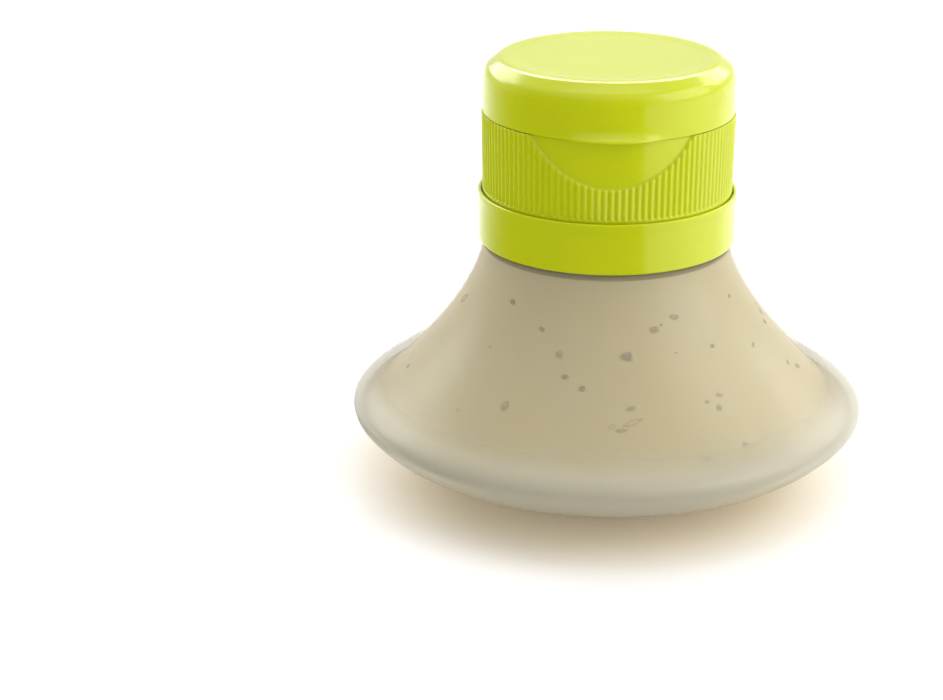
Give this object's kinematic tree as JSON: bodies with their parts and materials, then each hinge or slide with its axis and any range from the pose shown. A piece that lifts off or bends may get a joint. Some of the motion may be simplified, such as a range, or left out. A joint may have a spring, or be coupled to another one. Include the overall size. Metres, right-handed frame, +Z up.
{
  "type": "dispensing sauce bottle with flip cap",
  "caption": "Squat saucer-shaped squeeze bottle of frosted plastic filled with dressing, with a ribbed lime screw closure, hinged flip lid and tamper band.",
  "frame": {"origin": "centre of the ring that the bottle stands on, on the table surface", "axes": "+Z up along the bottle's axis, -Y to the front where the thumb lip is, +Y to the hinge"},
  "size_m": [0.0892, 0.0892, 0.074],
  "materials": {
    "frosted_plastic": "frosted natural, satin gloss",
    "sauce": "smooth cream dressing",
    "black_pepper": "cracked pepper",
    "red_pepper": "dried pepper flake",
    "herb": "dried herb",
    "foil": "satin foil",
    "lime_plastic": "glossy moulded"
  },
  "bodies": {
    "filled_bottle": {"bottle": "frosted_plastic", "sauce_fill": "sauce", "black_pepper_flecks": "black_pepper", "red_pepper_flecks": "red_pepper", "herb_flecks": "herb", "foil_seal": "foil"},
    "band": {"tamper_band": "lime_plastic", "tear_bridges": "lime_plastic"},
    "closure": {"cap_base": "lime_plastic", "living_hinge": "lime_plastic", "snap_straps": "lime_plastic"},
    "lid": {"flip_lid": "lime_plastic"}
  },
  "joints": [
    {"name": "cap_turn", "type": "hinge", "parent": "filled_bottle", "child": "band", "pos_m": [0, 0, 0.0464], "axis": [0, 0, 1], "range_deg": [0, 1080]},
    {"name": "cap_rise", "type": "slide", "parent": "band", "child": "closure", "axis": [0, 0, 1], "range_m": [0, 0.0126]},
    {"name": "lid_hinge", "type": "hinge", "parent": "closure", "child": "lid", "pos_m": [0, 0.0219, 0.0647], "axis": [-1, 0, 0], "range_deg": [0, 170], "deforming": ["living_hinge", "snap_straps"]}
  ],
  "couplings": [
    {"joint": "cap_rise", "follows": "cap_turn", "m_per_rad": 0.00066845}
  ]
}
